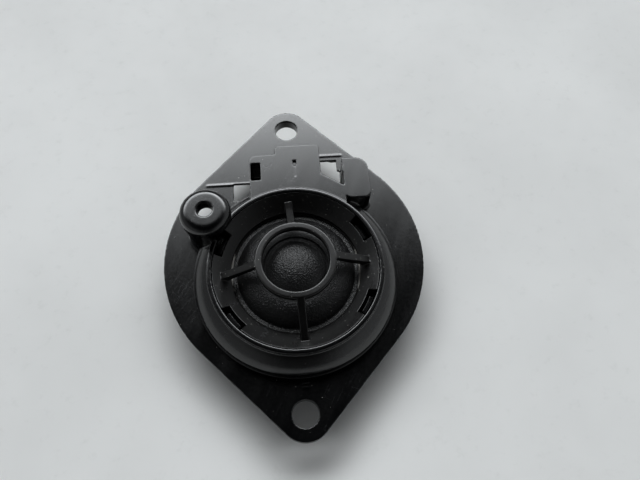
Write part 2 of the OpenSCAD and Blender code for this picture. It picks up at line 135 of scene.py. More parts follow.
def add_tube(bm, path, radius, sides=12):
    """A round tube along a path of points, closed by a rounded end at each end."""
    points = [Vector(p) for p in path]
    tangents = []
    for i in range(len(points)):
        a, b = points[max(i - 1, 0)], points[min(i + 1, len(points) - 1)]
        tangents.append((b - a).normalized())
    side = tangents[0].orthogonal().normalized()
    rows = []
    for i, (p, t) in enumerate(zip(points, tangents)):
        side = (side - side.dot(t) * t).normalized()
        rows.append((p, t, side.copy(), radius))
    caps = [(0.0, -1.0), (0.5, -0.87), (0.85, -0.5)]
    p, t, s, r = rows[0]
    head = [(p + t * (r * h), t, s, r * f) for f, h in caps if f > 0]
    tip_a = p - t * r
    p, t, s, r = rows[-1]
    tail = [(p - t * (r * h), t, s, r * f) for f, h in reversed(caps) if f > 0]
    tip_b = p + t * r
    loops = []
    for p, t, s, r in head + rows + tail:
        u = t.cross(s)
        turns = [2 * math.pi * k / sides for k in range(sides)]
        loops.append([bm.verts.new(p + s * (r * math.cos(a)) + u * (r * math.sin(a))) for a in turns])
    for a, b in zip(loops, loops[1:]):
        for k in range(sides):
            n = (k + 1) % sides
            bm.faces.new((a[k], a[n], b[n], b[k]))
    for tip, loop in ((bm.verts.new(tip_a), loops[0]), (bm.verts.new(tip_b), loops[-1])):
        for k in range(sides):
            bm.faces.new((tip, loop[k], loop[(k + 1) % sides]))


def rounded_path(corners, bend, steps=8):
    """A polyline with each corner replaced by a smooth bend."""
    pts = [Vector(c) for c in corners]
    out = [pts[0]]
    for a, b, c in zip(pts, pts[1:], pts[2:]):
        d = min(bend, (b - a).length * 0.48, (c - b).length * 0.48)
        start, end = b + (a - b).normalized() * d, b + (c - b).normalized() * d
        for k in range(steps + 1):
            t = k / steps
            out.append(start.lerp(b, t).lerp(b.lerp(end, t), t))
    out.append(pts[-1])
    dense = [out[0]]
    for p in out[1:]:
        gap = (p - dense[-1]).length
        for k in range(1, max(1, int(gap / 0.5))):
            dense.append(dense[-1].lerp(p, 1 / (max(1, int(gap / 0.5)) - k + 1)))
        if gap > 1e-4:
            dense.append(p)
    return dense


def strands(bm, path, count, offset, radius, pitch, sides=6, phase=0.0):
    """Fine wires twisted round a path."""
    points = [Vector(p) for p in path]
    side = (points[1] - points[0]).orthogonal().normalized()
    frames, run = [], 0.0
    for i, p in enumerate(points):
        t = (points[min(i + 1, len(points) - 1)] - points[max(i - 1, 0)]).normalized()
        side = (side - side.dot(t) * t).normalized()
        if i:
            run += (p - points[i - 1]).length
        frames.append((p, side.copy(), t.cross(side), run))
    for n in range(count):
        track = []
        for p, s, u, run in frames:
            a = phase + 2 * math.pi * (n / count + run / pitch)
            track.append(p + s * (offset * math.cos(a)) + u * (offset * math.sin(a)))
        add_tube(bm, track, radius, sides)


def resampled(path, step):
    """The same path with a point every step along it."""
    points = [Vector(p) for p in path]
    total = sum((b - a).length for a, b in zip(points, points[1:]))
    count = max(2, int(total / step))
    out, i, run = [points[0]], 0, 0.0
    for k in range(1, count):
        goal = total * k / count
        while run + (points[i + 1] - points[i]).length < goal:
            run += (points[i + 1] - points[i]).length
            i += 1
        out.append(points[i].lerp(points[i + 1], (goal - run) / (points[i + 1] - points[i]).length))
    return out + [points[-1]]


def arc(cx, cz, r, a0, a1, count):
    """Points (radius, z) on an arc in the half section, angles in degrees."""
    return [(cx + r * math.cos(math.radians(a0 + (a1 - a0) * k / count)),
             cz + r * math.sin(math.radians(a0 + (a1 - a0) * k / count))) for k in range(count + 1)]


def rounded_section(corners, radius, steps=4):
    """A closed half section with its corners rounded. A corner on the axis stays sharp."""
    out, n = [], len(corners)
    for i, (r, z) in enumerate(corners):
        if r < 1e-6:
            out.append((0.0, z))
            continue
        b, a, c = Vector((r, z)), Vector(corners[i - 1]), Vector(corners[(i + 1) % n])
        d = min(radius, (a - b).length * 0.45, (c - b).length * 0.45)
        start, end = b + (a - b).normalized() * d, b + (c - b).normalized() * d
        for k in range(steps + 1):
            t = k / steps
            p = start.lerp(b, t).lerp(b.lerp(end, t), t)
            out.append((p.x, p.y))
    return out


def roughen(obj, size, depth, seed=0.0):
    """Moves each vertex along its normal by smooth noise, both in millimetres."""
    mesh = obj.data
    normals = [v.normal.copy() for v in mesh.vertices]
    for v, n in zip(mesh.vertices, normals):
        p = v.co / MM
        v.co += n * (depth * MM * noise.fractal(p / size + Vector((seed, seed, seed)), 0.8, 2.0, 3))


def soften(node, voxel, rounds):
    """Gives a moulded CAD node the small rounded edges of a real moulding, by modifiers alone."""
    obj = NODES[node]
    weld = obj.modifiers.new("weld", "WELD")
    weld.merge_threshold = 1e-6
    skin = obj.modifiers.new("skin", "REMESH")
    skin.mode = "VOXEL"
    skin.voxel_size = voxel * MM
    skin.adaptivity = 0
    skin.use_smooth_shade = True
    relax = obj.modifiers.new("relax", "SMOOTH")
    relax.factor = 0.5
    relax.iterations = rounds


def bevelled(node, width, segments=2):
    """Gives a CAD node small bevelled edges, by modifiers alone."""
    obj = NODES[node]
    weld = obj.modifiers.new("weld", "WELD")
    weld.merge_threshold = 1e-6
    edge = obj.modifiers.new("edge", "BEVEL")
    edge.width = width * MM
    edge.segments = segments
    edge.limit_method = "ANGLE"
    edge.angle_limit = math.radians(35)
    edge.harden_normals = False


# ---------------------------------------------------------------- materials
class Shade:
    """A node material whose patterns are laid out in millimetres on the object."""

    def __init__(self, name):
        self.mat = bpy.data.materials.new(name)
        self.mat.use_nodes = True
        self.tree = self.mat.node_tree
        self.tree.nodes.clear()
        out = self.tree.nodes.new("ShaderNodeOutputMaterial")
        self.bsdf = self.tree.nodes.new("ShaderNodeBsdfPrincipled")
        self.tree.links.new(self.bsdf.outputs[0], out.inputs[0])
        coord = self.tree.nodes.new("ShaderNodeTexCoord")
        self.mm = self.vector("MULTIPLY", coord.outputs["Object"], (1 / MM,) * 3)
        geometry = self.tree.nodes.new("ShaderNodeNewGeometry")
        self.normal, self.point = geometry.outputs["Normal"], geometry.outputs["Pointiness"]
        self.x, self.y, self.z = self.split(self.mm)
        self.up = self.split(self.normal)[2]

    def put(self, socket, value):
        if isinstance(value, bpy.types.NodeSocket):
            self.tree.links.new(value, socket)
        else:
            socket.default_value = value

    def split(self, value):
        n = self.tree.nodes.new("ShaderNodeSeparateXYZ")
        self.put(n.inputs[0], value)
        return n.outputs[0], n.outputs[1], n.outputs[2]

    def vector(self, kind, a, b):
        n = self.tree.nodes.new("ShaderNodeVectorMath")
        n.operation = kind
        self.put(n.inputs[0], a)
        self.put(n.inputs[1], b)
        return n.outputs[0]

    def math(self, kind, a, b=0.0, clamp=False):
        n = self.tree.nodes.new("ShaderNodeMath")
        n.operation = kind
        n.use_clamp = clamp
        self.put(n.inputs[0], a)
        self.put(n.inputs[1], b)
        return n.outputs[0]

    def noise(self, per_mm, detail=2.0, rough=0.5, stretch=None, turn=None):
        n = self.tree.nodes.new("ShaderNodeTexNoise")
        where = self.mm
        if turn is not None:
            r = self.tree.nodes.new("ShaderNodeVectorRotate")
            r.rotation_type = "Z_AXIS"
            self.put(r.inputs["Vector"], where)
            r.inputs["Angle"].default_value = math.radians(turn)
            where = r.outputs[0]
        if stretch is not None:
            where = self.vector("MULTIPLY", where, stretch)
        self.put(n.inputs["Vector"], where)
        n.inputs["Scale"].default_value = per_mm
        n.inputs["Detail"].default_value = detail
        n.inputs["Roughness"].default_value = rough
        return n.outputs["Fac"]

    def cells(self, per_mm, stretch=None):
        n = self.tree.nodes.new("ShaderNodeTexVoronoi")
        where = self.mm if stretch is None else self.vector("MULTIPLY", self.mm, stretch)
        self.put(n.inputs["Vector"], where)
        n.inputs["Scale"].default_value = per_mm
        return n.outputs["Distance"]

    def span(self, value, a, b, lo=0.0, hi=1.0, smooth=True):
        """Maps a..b onto lo..hi, held at both ends."""
        n = self.tree.nodes.new("ShaderNodeMapRange")
        n.interpolation_type = "SMOOTHSTEP" if smooth else "LINEAR"
        for socket, v in zip(list(n.inputs)[:5], (value, a, b, lo, hi)):
            self.put(socket, v)
        return n.outputs[0]

    def mix(self, share, a, b):
        n = self.tree.nodes.new("ShaderNodeMix")
        n.data_type = "RGBA"
        self.put(n.inputs[0], share)
        for socket, v in ((n.inputs[6], a), (n.inputs[7], b)):
            self.put(socket, v if isinstance(v, bpy.types.NodeSocket) else (*v, 1.0))
        return n.outputs[2]

    def bump(self, height, depth_mm, strength=1.0, below=None):
        n = self.tree.nodes.new("ShaderNodeBump")
        n.inputs["Strength"].default_value = strength
        n.inputs["Distance"].default_value = depth_mm * MM
        self.put(n.inputs["Height"], height)
        if below is not None:
            self.put(n.inputs["Normal"], below)
        return n.outputs[0]

    def scratches(self, turn, per_mm, width, rarity):
        """Thin broken lines that run across the object at one angle."""
        drawn = self.noise(per_mm, 1.0, 0.4, (1.0, 0.05, 0.05), turn)
        ridge = self.math("ABSOLUTE", self.math("SUBTRACT", drawn, 0.5))
        line = self.span(ridge, 0.0, width, 1.0, 0.0)
        return self.math("MULTIPLY", line, self.span(self.noise(0.16, 2.0, 0.5), rarity, rarity + 0.08))

    def from_axis(self):
        """Distance from the speaker axis, in millimetres."""
        x, y = self.split(self.vector("SUBTRACT", self.mm, (0.0, AXIS_Y, 0.0)))[:2]
        return self.math("SQRT", self.math("ADD", self.math("MULTIPLY", x, x), self.math("MULTIPLY", y, y)))

    def finish(self, colour, rough, normal=None, metal=0.0, level=0.5):
        self.put(self.bsdf.inputs["Base Color"], colour)
        self.put(self.bsdf.inputs["Roughness"], rough)
        self.put(self.bsdf.inputs["Metallic"], metal)
        self.bsdf.inputs["Specular IOR Level"].default_value = level
        if normal is not None:
            self.put(self.bsdf.inputs["Normal"], normal)
        return self.mat


def moulding(name, dark, light, rough, grain, dust, level=0.5):
    """Black moulded plastic: fine grain, flow marks, sharp edges lightened as wear and as painted highlight,
    scratches and dust on top.
    """
    s = Shade(name)
    cloudy = s.noise(0.07, 3.0, 0.55)
    fine = s.noise(1.4, 5.0, 0.6)
    flow = s.noise(0.25, 3.0, 0.5, (1.0, 0.22, 1.0), 24)
    grains = s.noise(4.5, 2.0, 0.6)
    lines = s.math("ADD", s.scratches(32, 0.9, 0.008, 0.52), s.scratches(-57, 0.7, 0.007, 0.56), True)
    # sharp edges: partly real wear, partly a painted highlight where the edges catch the light
    edge_wear_and_highlight = s.math("MULTIPLY", s.span(s.point, 0.52, 0.6), s.span(fine, 0.35, 0.65, 0.35, 1.0))
    level_up = s.span(s.up, 0.55, 0.95)
    hollow = s.span(s.point, 0.49, 0.44)
    specks = s.math("MULTIPLY", s.span(s.noise(2.1, 1.0, 0.5), dust, dust + 0.03), level_up)
    film = s.math("MULTIPLY", s.span(s.noise(0.35, 5.0, 0.65), 0.5, 0.75), level_up)
    colour = s.mix(s.span(cloudy, 0.3, 0.7), dark, light)
    colour = s.mix(s.math("MULTIPLY", edge_wear_and_highlight, 0.5), colour, (0.075, 0.077, 0.082))
    colour = s.mix(s.math("MULTIPLY", lines, 0.05), colour, (0.09, 0.09, 0.092))
    colour = s.mix(s.math("MULTIPLY", film, 0.008), colour, (0.085, 0.08, 0.072))
    colour = s.mix(s.math("MULTIPLY", hollow, 0.03), colour, (0.05, 0.047, 0.042))
    colour = s.mix(s.math("MULTIPLY", specks, 0.9), colour, (0.42, 0.41, 0.38))
    value = s.math("ADD", s.span(flow, 0.3, 0.7, rough - 0.02, rough + 0.03),
                   s.span(fine, 0.3, 0.7, -0.015, 0.02))
    dull = s.math("ADD", s.math("MULTIPLY", lines, 0.4), specks, True)
    value = s.math("ADD", value, s.math("MULTIPLY", dull, 0.16))
    value = s.math("ADD", value, s.math("MULTIPLY", edge_wear_and_highlight, -0.06), True)
    bumps = s.bump(grains, grain)
    bumps = s.bump(flow, 0.02, 0.5, bumps)
    bumps = s.bump(s.math("SUBTRACT", specks, s.math("MULTIPLY", lines, 0.4)), 0.012, 0.6, bumps)
    return s.finish(colour, value, bumps, level=level)


def cloth(name):
    """Coated dome cloth: a sticky coating over a fine weave, with lint and dust."""
    s = Shade(name)
    weave = s.math("MULTIPLY", s.noise(4.0, 2.0, 0.7), s.cells(3.4))
    grains = s.noise(2.7, 2.0, 0.7)
    cloudy = s.noise(0.25, 3.0, 0.5)
    bright = s.span(grains, 0.36, 0.66)
    colour = s.mix(bright, (0.0008, 0.0008, 0.0009), (0.012, 0.012, 0.013))
    colour = s.mix(s.span(cloudy, 0.35, 0.7, 0.0, 0.5), colour, (0.004, 0.0038, 0.0038))
    lint = s.span(s.noise(1.7, 1.0, 0.4), 0.76, 0.79)
    colour = s.mix(s.math("MULTIPLY", lint, 0.7), colour, (0.3, 0.29, 0.27))
    bumps = s.bump(grains, 0.22)
    bumps = s.bump(weave, 0.06, 0.7, bumps)
    s.bsdf.inputs["Sheen Weight"].default_value = 0.015
    s.bsdf.inputs["Sheen Roughness"].default_value = 0.5
    out = s.from_axis()
    valley = s.math("MULTIPLY", s.span(out, 6.5, 7.0), s.span(out, 9.6, 8.6))
    value = s.math("ADD", s.span(grains, 0.3, 0.7, 0.42, 0.28), s.math("MULTIPLY", valley, 0.55), True)
    return s.finish(colour, value, bumps, level=0.75)


def metal(name, colour, dull, rough, rings=0.0, spots=0.35):
    """Plated or bare metal: fine turning marks, cloudy tarnish and spots."""
    s = Shade(name)
    cloudy = s.noise(0.22, 4.0, 0.6)
    fine = s.noise(3.0, 4.0, 0.6)
    shade = s.mix(s.span(cloudy, 0.35, 0.7), colour, dull)
    shade = s.mix(s.math("MULTIPLY", s.span(fine, 0.62, 0.72), spots), shade, tuple(c * 0.45 for c in dull))
    value = s.math("ADD", s.span(cloudy, 0.3, 0.7, rough - 0.05, rough + 0.1),
                   s.span(fine, 0.3, 0.7, -0.04, 0.05), True)
    bumps = s.bump(fine, 0.012)
    if rings > 0:
        out = s.from_axis()
        wobble = s.math("MULTIPLY", cloudy, 0.4)
        groove = s.math("SINE", s.math("MULTIPLY", s.math("ADD", out, wobble), rings))
        bumps = s.bump(groove, 0.01, 0.6, bumps)
    return s.finish(shade, value, bumps, metal=1.0)


def plain(name, dark, light, rough, size, depth, level=0.4, speck=None, transmission=0.0):
    """Felt, foam, paper, board and insulation: two tones, a grain of one size and specks."""
    s = Shade(name)
    cloudy, grains = s.noise(size * 0.2, 3.0, 0.6), s.noise(size, 4.0, 0.7)
    colour = s.mix(s.span(cloudy, 0.3, 0.7), dark, light)
    colour = s.mix(s.span(grains, 0.35, 0.7, 0.0, 0.5), colour, tuple(c * 0.5 for c in dark))
    if speck is not None:
        spots = s.noise(size * 0.6, 1.0, 0.5)
        colour = s.mix(s.span(spots, 0.68, 0.72, 0.0, 0.7), colour, speck)
    if transmission > 0:
        s.bsdf.inputs["Subsurface Weight"].default_value = transmission
        s.bsdf.inputs["Subsurface Radius"].default_value = (0.002, 0.0012, 0.0006)
        s.bsdf.inputs["Subsurface Scale"].default_value = 0.3
    value = s.span(grains, 0.3, 0.7, rough + 0.06, rough - 0.06)
    return s.finish(colour, value, s.bump(grains, depth), level=level)


MATERIALS = {
    "black_moulding": moulding("black_moulding", (0.0012, 0.0013, 0.0016), (0.0024, 0.0026, 0.0031),
                               0.2, 0.005, 0.79, 0.95),
    "grille_moulding": moulding("grille_moulding", (0.0018, 0.0017, 0.0017), (0.0042, 0.004, 0.0039),
                                0.3, 0.01, 0.735, 0.8),
    "chassis_plastic": moulding("chassis_plastic", (0.008, 0.008, 0.008), (0.014, 0.014, 0.0135),
                                0.5, 0.02, 0.8),
    "coated_cloth": cloth("coated_cloth"),
    "natural_plastic": plain("natural_plastic", (0.46, 0.45, 0.40), (0.58, 0.57, 0.52), 0.5, 1.6, 0.02, 0.5,
                             transmission=0.2),
    "coil_film": plain("coil_film", (0.35, 0.12, 0.02), (0.5, 0.2, 0.04), 0.3, 2.5, 0.01, 0.5),
    "copper_wire": metal("copper_wire", (0.78, 0.36, 0.19), (0.52, 0.22, 0.12), 0.28, 0.0, 0.2),
    "felt": plain("felt", (0.05, 0.05, 0.048), (0.10, 0.10, 0.095), 0.95, 4.0, 0.16, 0.1,
                  speck=(0.2, 0.2, 0.19)),
    "zinc_steel": metal("zinc_steel", (0.60, 0.61, 0.62), (0.42, 0.42, 0.43), 0.30, 34.0),
    "plated_magnet": metal("plated_magnet", (0.70, 0.69, 0.66), (0.52, 0.51, 0.49), 0.2, 0.0),
    "brass": metal("brass", (0.75, 0.56, 0.25), (0.5, 0.36, 0.16), 0.28, 0.0),
    "red_insulation": plain("red_insulation", (0.28, 0.012, 0.01), (0.38, 0.02, 0.016),
                            0.38, 2.2, 0.015, 0.5),
    "black_insulation": plain("black_insulation", (0.012, 0.012, 0.013), (0.022, 0.022, 0.024),
                              0.4, 2.2, 0.015, 0.5),
    "tin_plate": metal("tin_plate", (0.72, 0.72, 0.71), (0.5, 0.5, 0.49), 0.26, 0.0),
    "solder": metal("solder", (0.74, 0.74, 0.75), (0.45, 0.45, 0.46), 0.22, 0.0, 0.5),
    "can_metal": metal("can_metal", (0.80, 0.80, 0.81), (0.62, 0.62, 0.63), 0.25, 0.0),
    "sleeve": plain("sleeve", (0.012, 0.035, 0.13), (0.02, 0.055, 0.19), 0.22, 1.5, 0.008, 0.5),
    "bung": plain("bung", (0.02, 0.02, 0.02), (0.035, 0.035, 0.034), 0.8, 2.5, 0.03, 0.3),
}


def board_material():
    """Green solder mask over glass cloth, with the weave just showing."""
    s = Shade("board")
    warp = s.math("SINE", s.math("MULTIPLY", s.x, 12.0))
    weft = s.math("SINE", s.math("MULTIPLY", s.y, 12.0))
    weave = s.math("MULTIPLY", warp, weft)
    cloudy = s.noise(0.5, 4.0, 0.6)
    colour = s.mix(s.span(cloudy, 0.3, 0.7), (0.012, 0.075, 0.03), (0.02, 0.11, 0.045))
    colour = s.mix(s.span(weave, 0.2, 0.9, 0.0, 0.25), colour, (0.05, 0.15, 0.07))
    return s.finish(colour, s.span(cloudy, 0.3, 0.7, 0.3, 0.42), s.bump(weave, 0.01, 0.5), level=0.5)


def foam_material():
    """Dark open foam, painted pale toward the two sides as painted light where the ring's flanks catch the
    light.
    """
    s = Shade("foam")
    grains = s.noise(3.0, 4.0, 0.7)
    reach = s.math("ADD", s.math("ABSOLUTE", s.x), s.math("MULTIPLY", s.noise(0.5, 3.0, 0.6), 3.0))
    colour = s.mix(s.span(grains, 0.3, 0.7), (0.008, 0.008, 0.0078), (0.02, 0.0195, 0.0185))
    # painted highlight: the foam turns pale toward both sides, where the ring catches the light
    colour = s.mix(s.span(reach, 16.2, 17.0), colour, (0.34, 0.33, 0.31))
    return s.finish(colour, s.span(grains, 0.3, 0.7, 0.92, 0.8), s.bump(grains, 0.12), level=0.2)


MATERIALS["board"] = board_material()
MATERIALS["foam"] = foam_material()


def dress(obj, slot):
    """Gives a piece its one material."""
    obj.data.materials.clear()
    obj.data.materials.append(MATERIALS[slot])


def dress_node(node, slot):
    """Puts a material on every slot of a CAD node."""
    obj = NODES[node]
    for k in range(max(1, len(obj.material_slots))):
        if not obj.material_slots:
            obj.data.materials.append(MATERIALS[slot])
        obj.material_slots[k].material = MATERIALS[slot]


def stand_in(obj, slot, nodes, body="housing"):
    """A detailed piece that takes the place of CAD nodes and rides on their body."""
    dress(obj, slot)
    if body is not None:
        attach(obj, body)
    if nodes:
        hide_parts(*nodes)
    return obj


# ---------------------------------------------------------------- moulded parts
NODE_SLOTS = {
    "housing": "black_moulding", "grille": "grille_moulding", "chassis": "chassis_plastic",
    "cloth_ring": "natural_plastic", "coil_former": "coil_film", "pole_piece": "zinc_steel",
    "magnet": "plated_magnet", "circuit_board": "board", "pin_left": "tin_plate",
    "pin_right": "tin_plate", "capacitor_can": "can_metal", "capacitor_bung": "bung",
}
for node_name, slot_name in NODE_SLOTS.items():
    dress_node(node_name, slot_name)

soften("housing", 0.2, 4)
soften("grille", 0.13, 3)
soften("chassis", 0.15, 2)
for node_name in ("pin_left", "pin_right"):
    bevelled(node_name, 0.12)
for node_name in ("magnet", "pole_piece", "capacitor_can", "cloth_ring"):
    bevelled(node_name, 0.15, 3)
for node_name in ("circuit_board", "capacitor_bung"):
    bevelled(node_name, 0.06)


# ---------------------------------------------------------------- cloth
def roll_arc():
    """Centre and radius of the surround's roll in the half section."""
    dx, dz = ROLL_OUT - ROLL_IN, VALLEY_Z - SEAT_Z
    chord = math.hypot(dx, dz)
    r = (chord * chord / 4 + ROLL_SAG * ROLL_SAG) / (2 * ROLL_SAG)
    back = (r - ROLL_SAG) / chord
    return (ROLL_IN + ROLL_OUT) / 2 - back * dz, (VALLEY_Z + SEAT_Z) / 2 - back * dx, r


def surround_piece():
    """The cloth roll and its flat seat, which stretches between housing and dome."""
    cx, cz, r = roll_arc()
    a0 = math.degrees(math.atan2(VALLEY_Z - cz, ROLL_IN - cx))
    a1 = math.degrees(math.atan2(SEAT_Z - cz, ROLL_OUT - cx))
    top = arc(cx, cz, r, a0, a1, 44)
    flat = [(ROLL_OUT + (CLOTH_OUT - ROLL_OUT) * k / 8, SEAT_Z) for k in range(1, 9)]
    under_flat = [(ro, SEAT_Z - CLOTH_T) for ro, _ in reversed(flat)]
    under = arc(cx, cz, r - CLOTH_T, a1, a0, 44)
    bm = bmesh.new()
    add_lathe(bm, top + flat + under_flat + under, (0, AXIS_Y), 360)
    obj = make_object("surround_cloth", bm)
    roughen(obj, 0.7, 0.035, 3.0)
    roughen(obj, 3.5, 0.05, 9.0)
    stand_in(obj, "coated_cloth", ["surround"], None)
    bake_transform(obj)


def dome_piece():
    """The dome with the valley pressed round its edge."""
    rise = DOME_TOP - VALLEY_Z
    ball = (DOME_EDGE ** 2 + rise ** 2) / (2 * rise)
    cz = DOME_TOP - ball
    edge_r = VALLEY_R - VALLEY_W + CLOTH_T
    a_out = math.degrees(math.acos(edge_r / ball))
    a_in = math.degrees(math.acos(edge_r / (ball - CLOTH_T)))
    outer = arc(0, cz, ball, 90, a_out, 54)
    valley = arc(VALLEY_R, VALLEY_Z, VALLEY_W - CLOTH_T, 180, 360, 14)
    valley_under = arc(VALLEY_R, VALLEY_Z, VALLEY_W, 360, 180, 18)
    inner = arc(0, cz, ball - CLOTH_T, a_in, 90, 54)
    outer[0], inner[-1] = (0.0, outer[0][1]), (0.0, inner[-1][1])
    inner = [p for p in inner if p[0] < edge_r - 0.05]
    bm = bmesh.new()
    add_lathe(bm, outer + valley + valley_under + inner, (0, AXIS_Y), 288, closed=False)
    obj = make_object("dome_cloth", bm)
    roughen(obj, 0.32, 0.03, 5.0)
    stand_in(obj, "coated_cloth", ["dome"], "diaphragm")


surround_piece()
dome_piece()


# ---------------------------------------------------------------- voice coil and its leads
def winding_piece():
    """Two layers of enamelled wire, each laid turn beside turn."""
    low, high = box_mm("coil_winding")
    inner_r = box_mm("coil_former")[1].x
    wire = (high.x - inner_r) / 4
    turns = int((high.z - low.z) / (2 * wire))
    bm = bmesh.new()
    for layer in range(2):
        r = inner_r + wire * (1 + 2 * layer)
        count = turns - layer
        track = []
        for k in range(count * 72 + 1):
            a = 2 * math.pi * k / 72
            z = low.z + wire * (1 + layer) + 2 * wire * (k / 72) * (turns - 1) / turns
            track.append((r * math.cos(a), AXIS_Y + r * math.sin(a), z))
        add_tube(bm, track, wire * 0.98, 6)
    stand_in(make_object("coil_turns", bm), "copper_wire", ["coil_winding"], "diaphragm")


def coil_lead_piece(node, side):
    """Fine braided tinsel that climbs from an eyelet and runs level to the coil."""
    eye = centre_mm("eyelet_left" if side < 0 else "eyelet_right")
    eye.z = box_mm("eyelet_left")[1].z
    inward = (Vector((0, AXIS_Y, 0)) - Vector((eye.x, eye.y, 0))).normalized()
    level = box_mm(node)[1].z - 0.2
    reach = (Vector((eye.x, eye.y, 0)) - Vector((0, AXIS_Y, 0))).length - box_mm("coil_former")[1].x
    bend = level - eye.z
    track = []
    for k in range(13):
        a = math.radians(90 * k / 12)
        rise = Vector((0, 0, bend * math.sin(a)))
        track.append(eye + inward * (bend * (1 - math.cos(a))) + rise)
    for k in range(1, 9):
        track.append(Vector((eye.x, eye.y, level)) + inward * (bend + (reach - bend) * k / 8))
    bm = bmesh.new()
    strands(bm, resampled(track, 0.12), 5, 0.11, 0.075, 1.1, 6)
    obj = stand_in(make_object(node + "_tinsel", bm), "copper_wire", [node], None)
    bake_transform(obj)


winding_piece()
coil_lead_piece("coil_lead_left", -1)
coil_lead_piece("coil_lead_right", 1)


# ---------------------------------------------------------------- soft and turned parts behind the grille
def gasket_piece():
    """A thin foam ring under the grille."""
    low, high = box_mm("front_gasket")
    outer = high.x
    inner = outer - 1.25
    rows = [(inner + (outer - inner) * k / 8, high.z) for k in range(9)]
    rows += [(outer, low.z + (high.z - low.z) * (3 - k) / 4) for k in range(4)]
    rows += [(inner + (outer - inner) * k / 8, low.z) for k in range(7, -1, -1)]
    rows += [(inner, low.z + (high.z - low.z) * (k + 1) / 4) for k in range(3)]
    bm = bmesh.new()
    add_lathe(bm, rows, (0, AXIS_Y), 300)
    obj = make_object("gasket_foam", bm)
    roughen(obj, 0.4, 0.03, 2.0)
    stand_in(obj, "foam", ["front_gasket"])


def pad_piece():
    """A felt disc on the pole."""
    low, high = box_mm("damping_pad")
    r = high.x
    section = rounded_section([(0.0, low.z), (r, low.z), (r, high.z), (0.0, high.z)], 0.35, 6)
    rows = [(r * 0.9 * k / 24, low.z) for k in range(24)] + [p for p in section if p[0] > r * 0.9]
    rows += [(r * 0.9 * k / 24, high.z) for k in range(24, -1, -1)]
    bm = bmesh.new()
    add_lathe(bm, rows, (0, AXIS_Y), 144, closed=False)
    obj = make_object("pad_felt", bm)
    roughen(obj, 0.5, 0.08, 7.0)
    stand_in(obj, "felt", ["damping_pad"])


def cup_piece():
    """Pressed steel cup: rounded edges, faint turned rings and a centre dimple on its back."""
    low, high = box_mm("yoke_cup")
    r, bore = high.x, 8.35
    floor = box_mm("magnet")[0].z
    rings = []
    for k in range(10):
        at = 1.4 + 0.85 * k
        rings += [(at, low.z), (at + 0.12, low.z + 0.035), (at + 0.24, low.z)]
    corners = [(r, low.z), (r, high.z), (bore, high.z), (bore, floor), (bore - 1, floor), (bore - 1, low.z)]
    outside = rounded_section(corners, 0.45, 6)[:14]
    rows = [(0.0, low.z + 0.35), (0.35, low.z + 0.3), (0.8, low.z)] + rings + outside
    rows += [(bore + 0.25, high.z), (bore, high.z - 0.25), (bore, floor), (0.0, floor)]
    bm = bmesh.new()
    add_lathe(bm, rows, (0, AXIS_Y), 160, closed=False)
    obj = make_object("yoke_cup_steel", bm)
    stand_in(obj, "zinc_steel", ["yoke_cup"])
    obj.data.set_sharp_from_angle(angle=math.radians(50))


def eyelet_pieces():
    """Brass tubes with both ends rolled over."""
    for node in ("eyelet_left", "eyelet_right"):
        low, high = box_mm(node)
        mid = centre_mm(node)
        rim, tube, bore, lip = (high.x - low.x) / 2, 0.9, 0.5, 0.25
        corners = [(bore, low.z), (rim, low.z), (rim, low.z + lip), (tube, low.z + lip),
                   (tube, high.z - lip), (rim, high.z - lip), (rim, high.z), (bore, high.z)]
        bm = bmesh.new()
        add_lathe(bm, rounded_section(corners, 0.14, 4), (mid.x, mid.y), 48)
        stand_in(make_object(node + "_rolled", bm), "brass", [node])


gasket_piece()
pad_piece()
cup_piece()
eyelet_pieces()


# ---------------------------------------------------------------- wiring behind the web
WIRE_R, CORE_R = 0.6, 0.22


def lead_wire_piece(node, slot):
    """Insulated wire from an eyelet to the board, its stripped end a twist of strands."""
    low, high = box_mm(node)
    eye = centre_mm("eyelet_left" if node.endswith("left") else "eyelet_right")
    z = low.z + WIRE_R
    board_y = box_mm("circuit_board")[0].y
    end_x = eye.x if node.endswith("left") else (centre_mm("pin_left").x + centre_mm("pin_right").x) / 2
    cover_end = board_y - WIRE_R - 0.1
    track = rounded_path([(eye.x, eye.y, high.z - WIRE_R), (eye.x, eye.y, z), (end_x, cover_end, z)], 1.1)
    bm = bmesh.new()
    add_tube(bm, resampled(track, 0.3), WIRE_R, 20)
    cover = stand_in(make_object(node + "_cover", bm), slot, [node])
    roughen(cover, 1.2, 0.015, 4.0)
    core_z = box_mm("circuit_board")[0].z - CORE_R - 0.02
    bm = bmesh.new()
    bare = [(end_x, cover_end - 0.4, z), (end_x, cover_end + 0.4, (z + core_z) / 2),
            (end_x, cover_end + 0.9, core_z), (end_x, high.y - CORE_R, core_z)]
    strands(bm, resampled(rounded_path(bare, 0.3, 4), 0.12), 6, 0.13, 0.075, 1.6, 6)
    stand_in(make_object(node + "_strands", bm), "copper_wire", [])


def capacitor_lead_piece():
    """Both tinned leads of the capacitor, bent down and along the recess. Gives their x at the board."""
    low, high = box_mm("capacitor_leads")
    can = centre_mm("capacitor_can")
    r, gap = 0.25, 0.9
    bung = box_mm("capacitor_bung")
    end_y = high.y - r
    z_run = 0.7
    z_end = box_mm("circuit_board")[0].z - r - 0.02
    ends = (low.x + r, low.x + r + 1.2)
    turns = (18.1, 19.1)
    bm = bmesh.new()
    for k in range(2):
        x = can.x + (2 * k - 1) * gap
        y = low.y + r + k * r
        path = [(x, bung[1].y - r, can.z), (x, y, can.z), (x, y, z_run), (x, turns[k], z_run),
                (ends[k], turns[k], z_end), (ends[k], end_y, z_end)]
        add_tube(bm, resampled(rounded_path(path, 0.45, 6), 0.2), r, 12)
    stand_in(make_object("capacitor_leads_bent", bm), "tin_plate", ["capacitor_leads"])
    return ends


